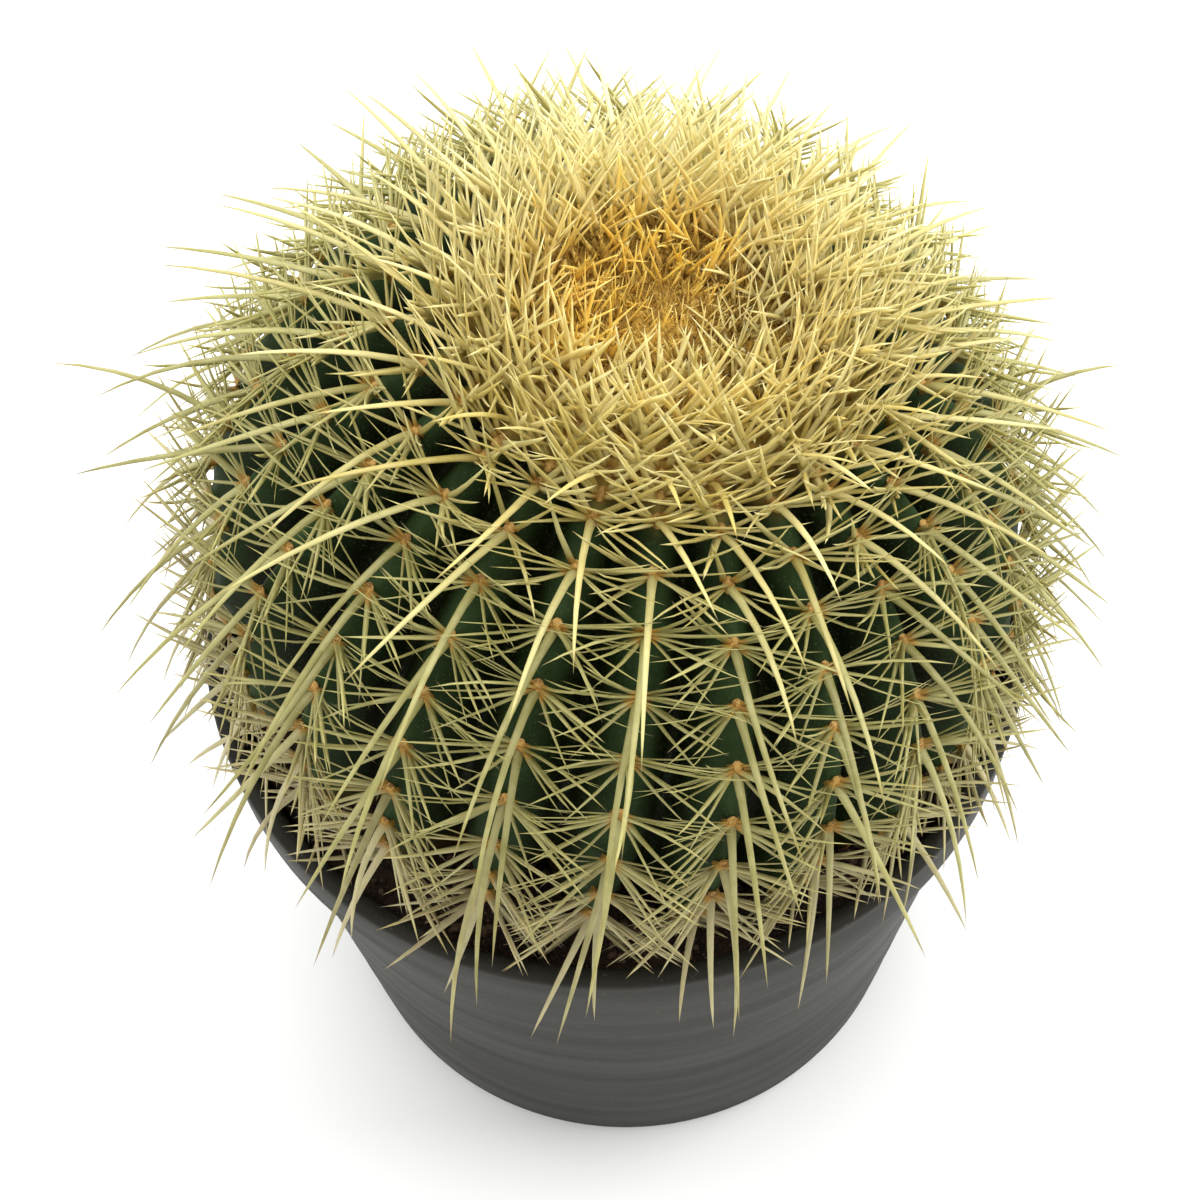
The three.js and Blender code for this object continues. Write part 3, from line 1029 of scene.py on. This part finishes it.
# The other laterals, and the ring of thin radials that nets the furrows. The middle lateral at the given
# hand is left out, because the frame's own one stands there.
def furtherSpines(seat, hand, dice, groups):
    high, old, hang = seat["high"], seat["old"], hangOf(seat)
    crowded = seat["youth"] > further["crowdedYouth"]
    aim = further["crowdedAim"] if crowded else further["aim"]
    missing = further["crowdedMissing"] if crowded else radial["missing"] * old
    aged = lerp(1, further["oldLength"], old)

    def grow(group, degrees, lift, length, bend, root):
        angle = math.radians(degrees + dice.uniform(-1, 1) * aim)
        way = seat["down"] * math.cos(angle) + seat["side"] * math.sin(angle)
        rooted = {**seat, "point": seat["point"] + way * spines["rootSpread"]}
        path = clearPath(rooted, way + seat["normal"] * lift, length * aged, hang, bend)
        addSpine(groups["upper" if crowded else group], rooted, path, root, dice)

    for level in ("low", "middle", "high"):
        degrees, lift, lengthShare, rootShare = sturdy[level]
        for sign in (-1, 1):
            if level == "middle" and sign == hand:
                continue
            if level == "low" and dice.random() < sturdy["missing"] * old:
                continue
            length = lateral["length"] * lengthShare * dice.uniform(*sturdy["length"])
            root = lateral["root"] * rootShare * dice.uniform(*sturdy["root"])
            root *= lerp(1, sturdy["crownRoot"], high)
            raised = lift * dice.uniform(*sturdy["lift"]) * lerp(1, sturdy["crownLift"], high)
            grow("lateral", degrees * sign, raised, length, dice.uniform(*sturdy["bend"]), root)
    for degrees in radial["degrees"]:
        reach = lerp(radial["downLength"], 1.0, abs(math.sin(math.radians(degrees))))
        reach *= lerp(1, radial["crownLength"], high)
        for sign in (-1, 1):
            if dice.random() < missing:
                continue
            lift = lerp(dice.uniform(*radial["lift"]), dice.uniform(*radial["crownLift"]), high)
            length = radial["length"] * reach * dice.uniform(*radial["lengths"])
            root = radial["root"] * dice.uniform(*radial["roots"])
            root *= lerp(radial["lowRoot"], radial["crownRoot"], high)
            grow("radial", degrees * sign, lift, length, dice.uniform(*radial["bend"]), root)


# A straight cone of unit height and radius with rings cut at the given shares of its height.
def spineTemplate(sides, rings):
    bm = bmesh.new()
    bmesh.ops.create_cone(bm, cap_ends=True, segments=sides, radius1=1, radius2=0, depth=1,
                          matrix=Matrix.Translation((0, 0, 0.5)))
    for height in rings:
        everything = bm.verts[:] + bm.edges[:] + bm.faces[:]
        bmesh.ops.bisect_plane(bm, geom=everything, plane_co=(0, 0, height), plane_no=(0, 0, 1))
    return makeTemplate(bm)


# Centre of a spine at a share of its length, and its half widths across and over as two vectors.
def spineRing(spine, share):
    path = spine["path"]
    spot = share * (len(path) - 1)
    step = min(int(spot), len(path) - 2)
    centre = path[step].lerp(path[step + 1], spot - step)
    going = (path[min(step + 2, len(path) - 1)] - path[max(step - 1, 0)]).normalized()
    over = going.cross(spine["side"])
    over = over.normalized() if over.length > 0.2 else going.orthogonal().normalized()
    across = over.cross(going)
    bulb = 1 + spines["bulb"] * bell(share - spines["bulbAt"], spines["bulbWidth"])
    width = spine["root"] * (1 - share) ** spines["taper"] * bulb
    return centre, across * width, over * (width * spines["flatness"])


# Bends a copy of the straight cone along the path of each spine in a group.
def growSpines(name, group, shape, material, slot="cactus"):
    template = spineTemplate(shape["sides"], shape["rings"])
    spots = []
    for vert in template.vertices:
        share = round(vert.co.z, 4)
        coneRadius = max(1 - share, 1e-6)
        spots.append((share, vert.co.x / coneRadius, vert.co.y / coneRadius))
    levels = sorted({share for share, _, _ in spots})
    bm, copies, marks = repeated(template, len(group), "youth", "along", "base", "tone")
    youthMark, alongMark, baseMark, toneMark = marks
    for cone, spine in zip(copies, group):
        rings = {share: spineRing(spine, share) for share in levels}
        for vert, (share, x, y) in zip(cone, spots):
            centre, across, over = rings[share]
            vert.co = centre + across * x + over * y
            vert[alongMark] = share
            vert[baseMark] = share * spine["length"]
            vert[youthMark] = spine["youth"]
            vert[toneMark] = spine["tone"]
    bmesh.ops.recalc_face_normals(bm, faces=bm.faces)
    finishPiece(meshObject(name, bm), material, slot)


# The draws from 0 to 1 that the frame's own spines are placed by.
def makeRandom(seed):
    state = seed
    mask = 0xFFFFFFFF

    def draw():
        nonlocal state
        state = (state + 0x6D2B79F5) & mask
        t = (state ^ (state >> 15)) * (1 | state) & mask
        t = (t + ((t ^ (t >> 7)) * (61 | t) & mask) & mask) ^ t
        return (t ^ (t >> 14)) / 4294967296

    return draw


# The latitudes of the areoles on each rib, a seat for every areole, and the spines that grow there.
def plantAreoles():
    draw = makeRandom(2024)
    dice = random.Random(5)
    rows, seats = [], []
    groups = {"central": [], "lateral": [], "radial": [], "upper": []}
    for rib in range(flesh["ribs"]):
        azimuth = flesh["firstRibTurn"] + rib * ribTurn
        start = areoles["lowest"] + (rib % 2) * areoles["stagger"] + areoles["scatter"] * (draw() - 0.5)
        latitudes = areoleLatitudes(math.radians(start))
        rows.append(latitudes)
        for row, latitude in enumerate(latitudes):
            seat = areoleSeat(latitude, azimuth)
            hand = 1 if (rib + row) % 2 else -1
            mainSpines(seat, hand, draw, dice, groups)
            furtherSpines(seat, hand, dice, groups)
            seats.append(seat)
        for lower, upper in zip(latitudes, latitudes[1:]):
            if math.degrees(lower) > areoles["crowdedFrom"]:
                seat = areoleSeat((lower + upper) / 2, azimuth)
                furtherSpines(seat, 1, dice, groups)
                seats.append(seat)
    print("spines", {key: len(group) for key, group in groups.items()}, "areoles", len(seats))
    return rows, seats, groups


# ---- crown

crown = {
    "woolRadius": 0.015,
    "woolHeight": 0.0042,
    "woolLumps": 6,
    "woolLevel": 0.7,  # mean height of the lumps and how far they rise and fall, in woolHeights
    "woolRough": 0.6,
    "woolLobes": 3,
    "woolWave": 0.1,  # how far the lobes stand out
    "woolSides": (64, 28),
    "seat": 0.0008,  # gap under the cushion
}


# Height of the hollow of the crown at a radius.
def bowl(r):
    return crestAt(latitudeAt(r))[1]


# A vector in any direction, with each coordinate within the reach.
def anyWay(dice, reach):
    return Vector([dice.uniform(-reach, reach) for _ in range(3)])


def makeWool(material):
    bm = bmesh.new()
    sides, levels = crown["woolSides"]
    bmesh.ops.create_uvsphere(bm, u_segments=sides, v_segments=levels, radius=1)
    rim = crown["woolRadius"]
    for vert in bm.verts:
        angle = math.atan2(vert.co.y, vert.co.x)
        lobes = 1 + crown["woolWave"] * math.sin(crown["woolLobes"] * angle)
        r = math.hypot(vert.co.x, vert.co.y) * rim * lobes
        if vert.co.z < 0:
            z = bowl(r) + crown["seat"]
        else:
            lump = crown["woolLevel"] + crown["woolRough"] * noise.noise(vert.co * crown["woolLumps"])
            z = bowl(rim) + crown["seat"] + crown["woolHeight"] * vert.co.z * lump
        vert.co = place(Vector((r * math.cos(angle), r * math.sin(angle), z)))
    bmesh.ops.recalc_face_normals(bm, faces=bm.faces)
    finishPiece(meshObject("wool_cushion", bm), material, "wool", "crown_wool")


fibres = {
    "count": 2400,
    "reach": 0.036,  # from the middle of the crown
    "length": (5, 9),  # millimetres
    "root": 0.28 * mm,
    "spread": (-0.6, 0.9),  # inward and outward
    "sway": 0.5,
    "bend": 1.0,
    "overFlesh": 1 * mm,
    "overWool": 2 * mm,
    "sides": 3,
    "rings": (0.35, 0.7),
}


def makeFibres(material):
    dice = random.Random(8)
    group = []
    for _ in range(fibres["count"]):
        angle = dice.uniform(0, fullTurn)
        r = fibres["reach"] * math.sqrt(dice.random())
        start = Vector((r * math.cos(angle), r * math.sin(angle), bowl(r) + fibres["overFlesh"]))
        if r < crown["woolRadius"]:
            start.z = bowl(crown["woolRadius"]) + fibres["overWool"]
        out = Vector((math.cos(angle), math.sin(angle), 0)) * dice.uniform(*fibres["spread"])
        going = (skyward + out + anyWay(dice, fibres["sway"])).normalized()
        length = dice.uniform(*fibres["length"]) * mm
        path = spinePath(place(start), lean @ going, length, lean @ anyWay(dice, 1), fibres["bend"])
        group.append({"path": path, "root": fibres["root"], "side": Vector((1, 0, 0)), "youth": 1,
                      "length": length, "tone": dice.random()})
    growSpines("wool_fibres", group, fibres, material, "wool")


young = {
    # radius and spots of each circle
    "circles": ((0.030, 30), (0.024, 24), (0.018, 20), (0.012, 16), (0.007, 12), (0.002, 5)),
    "perSpot": 6,
    "length": (10, 19),  # millimetres, in the middle and on the widest circle, as the next one
    "root": (0.3, 1.1),
    "lengths": (0.6, 1.2),  # the lowest and highest that chance gives
    "roots": (0.75, 1.2),
    "stray": 0.2,  # of the distance to the next spot
    "spread": 0.5,
    "sway": 0.8,
    "bend": 0.3,
    "paintedLightSpread": 0.016,  # they turn from pale at the front right to amber at the back left over this distance, as painted light
    "paleYouth": -0.09,
    "amberYouth": 0.03,
    "sides": 5,
    "rings": (0.12, 0.5, 0.82),
}


# Young spines that crowd the crown, standing up round its centre.
def youngSpines():
    dice = random.Random(19)
    group = []
    centre = areoleSeat(math.radians(89), 0)["point"]
    widest = young["circles"][0][0]
    for circle, (r, count) in enumerate(young["circles"]):
        for number in range(count):
            stray = dice.uniform(-young["stray"], young["stray"])
            azimuth = (number + 0.5 * (circle % 2) + stray) / count * fullTurn
            seat = areoleSeat(latitudeAt(r), azimuth)
            # Painted light: spines towards the back left are given a warmer amber, those at the front
            # right a paler tone.
            back = seat["point"].y - seat["point"].x - (centre.y - centre.x)
            lit = smoothstep(back, -young["paintedLightSpread"], young["paintedLightSpread"])
            seat["youth"] += lerp(young["paleYouth"], young["amberYouth"], lit)
            for _ in range(young["perSpot"]):
                spread = dice.uniform(-young["spread"], young["spread"])
                outward = Vector((math.sin(azimuth), -math.cos(azimuth), 0)) * spread
                going = lean @ (skyward + outward + anyWay(dice, young["sway"]))
                length = lerp(*young["length"], min(r / widest, 1)) * mm * dice.uniform(*young["lengths"])
                path = clearPath(seat, going, length, lean @ anyWay(dice, 1), young["bend"])
                root = lerp(*young["root"], r / widest) * mm * dice.uniform(*young["roots"])
                addSpine(group, seat, path, root, dice)
    return group


# ---- everything in its order

setCamera()
setLight()
makeFloor()
mottle = makeMottle()
makePot()
rows, seats, groups = plantAreoles()
makeSoil()
makeGrit()
finishPiece(meshObject("flesh", fleshMesh(rows)), fleshFinish(), "cactus", "cactus")
makePads(seats)
horn = spineFinish()
growSpines("spines_long", groups["central"], central, horn)
growSpines("spines_lateral", groups["lateral"], lateral, horn)
growSpines("spines_radial", groups["radial"], radial, horn)
growSpines("spines_upper", groups["upper"], radial, horn)
growSpines("spines_young", youngSpines(), young, horn)
wool = woolFinish()
makeWool(wool)
makeFibres(wool)
